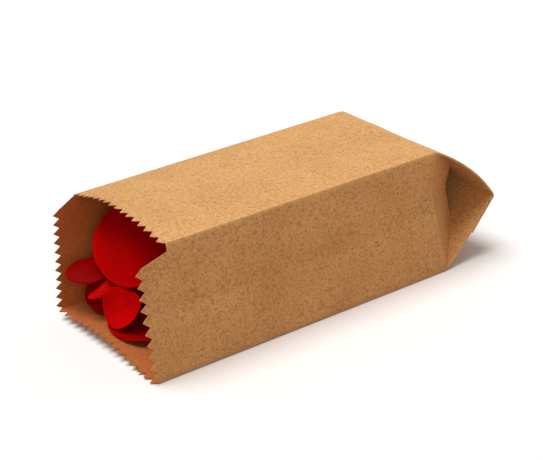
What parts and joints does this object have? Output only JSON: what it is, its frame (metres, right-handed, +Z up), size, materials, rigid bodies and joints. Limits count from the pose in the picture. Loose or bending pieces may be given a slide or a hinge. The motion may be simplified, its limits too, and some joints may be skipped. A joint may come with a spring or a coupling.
{
  "type": "dried fruit bag",
  "caption": "Small kraft paper bag lying on its back panel, its pinked mouth open at one end and its other end closed to a ridge, holding thin curved slices of dried fruit.",
  "frame": {"origin": "on the surface that the bag lies on, under the middle of its bounding box", "axes": "+X along the bag from its open mouth to its closed ridge, +Y across its panels, +Z up, through its depth"},
  "size_m": [0.1944, 0.082, 0.0648],
  "materials": {
    "kraft_paper": "matt brown kraft paper with fine darker fibres",
    "dried_fruit": "satin, deep red, slightly translucent at thin edges"
  },
  "bodies": {
    "root": {"paper_bag": "kraft_paper", "fruit_slice_low_front": "dried_fruit", "fruit_slice_corner": "dried_fruit", "fruit_slice_curl": "dried_fruit", "fruit_slice_cup": "dried_fruit", "fruit_slice_roll": "dried_fruit", "fruit_slice_side": "dried_fruit", "fruit_slice_deep_floor": "dried_fruit", "fruit_slice_deep_far": "dried_fruit", "fruit_slice_behind_cup": "dried_fruit", "fruit_slice_large": "dried_fruit"}
  },
  "joints": []
}
